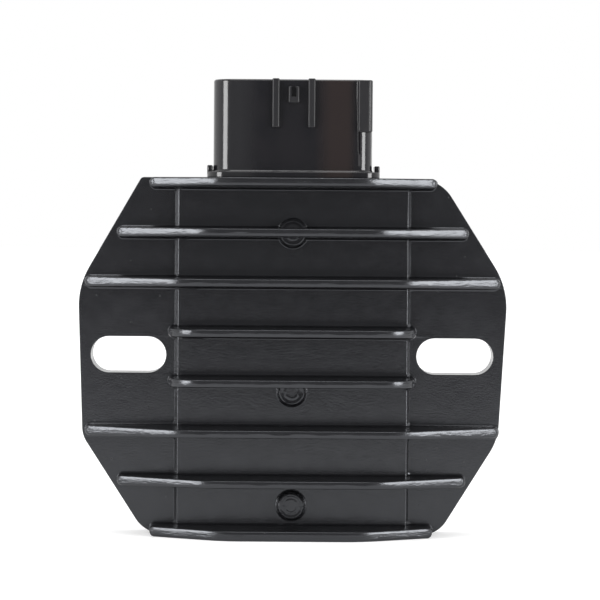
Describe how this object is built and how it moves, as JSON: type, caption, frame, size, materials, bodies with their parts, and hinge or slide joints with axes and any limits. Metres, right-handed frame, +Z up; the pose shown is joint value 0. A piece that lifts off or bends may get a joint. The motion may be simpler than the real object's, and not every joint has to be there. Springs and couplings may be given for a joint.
{
  "type": "voltage regulator rectifier",
  "caption": "Black die-cast regulator rectifier: flat octagonal plate with slotted mounting ears, level cooling fins on its face and an upright plug-in socket on its top edge.",
  "frame": {"origin": "midway between the two mounting slots, on the rear mounting face", "axes": "+Y out of the rear mounting face, the fins stand towards -Y, +Z up through the socket, +X to the right as the fins are looked at"},
  "size_m": [0.1046, 0.025, 0.111],
  "materials": {
    "black_painted_casting": "satin",
    "socket_plastic": "semi-gloss",
    "gasket_rubber": "matte",
    "tinned_brass": "satin",
    "white_ceramic": "matte",
    "copper_strip": "satin",
    "device_moulding": "matte",
    "circuit_board": "satin",
    "black_resin": "satin"
  },
  "bodies": {
    "root": {"heatsink_casting": "black_painted_casting", "connector_shell": "socket_plastic", "connector_gasket": "gasket_rubber", "stator_blade_a": "tinned_brass", "stator_blade_b": "tinned_brass", "stator_blade_c": "tinned_brass", "battery_blade": "tinned_brass", "sense_blade": "tinned_brass", "ground_blade": "tinned_brass", "insulator_plate": "white_ceramic", "ac_link_a": "copper_strip", "ac_link_b": "copper_strip", "ac_link_c": "copper_strip", "scr_a": "device_moulding", "scr_b": "device_moulding", "scr_c": "device_moulding", "diode_a": "device_moulding", "diode_b": "device_moulding", "diode_c": "device_moulding", "positive_bar": "copper_strip", "ground_bar": "copper_strip", "control_board": "circuit_board", "control_chip": "device_moulding", "filter_capacitor": "tinned_brass", "reference_zener": "device_moulding", "gate_resistors": "device_moulding", "gate_leads": "copper_strip", "potting_resin": "black_resin"}
  },
  "joints": []
}
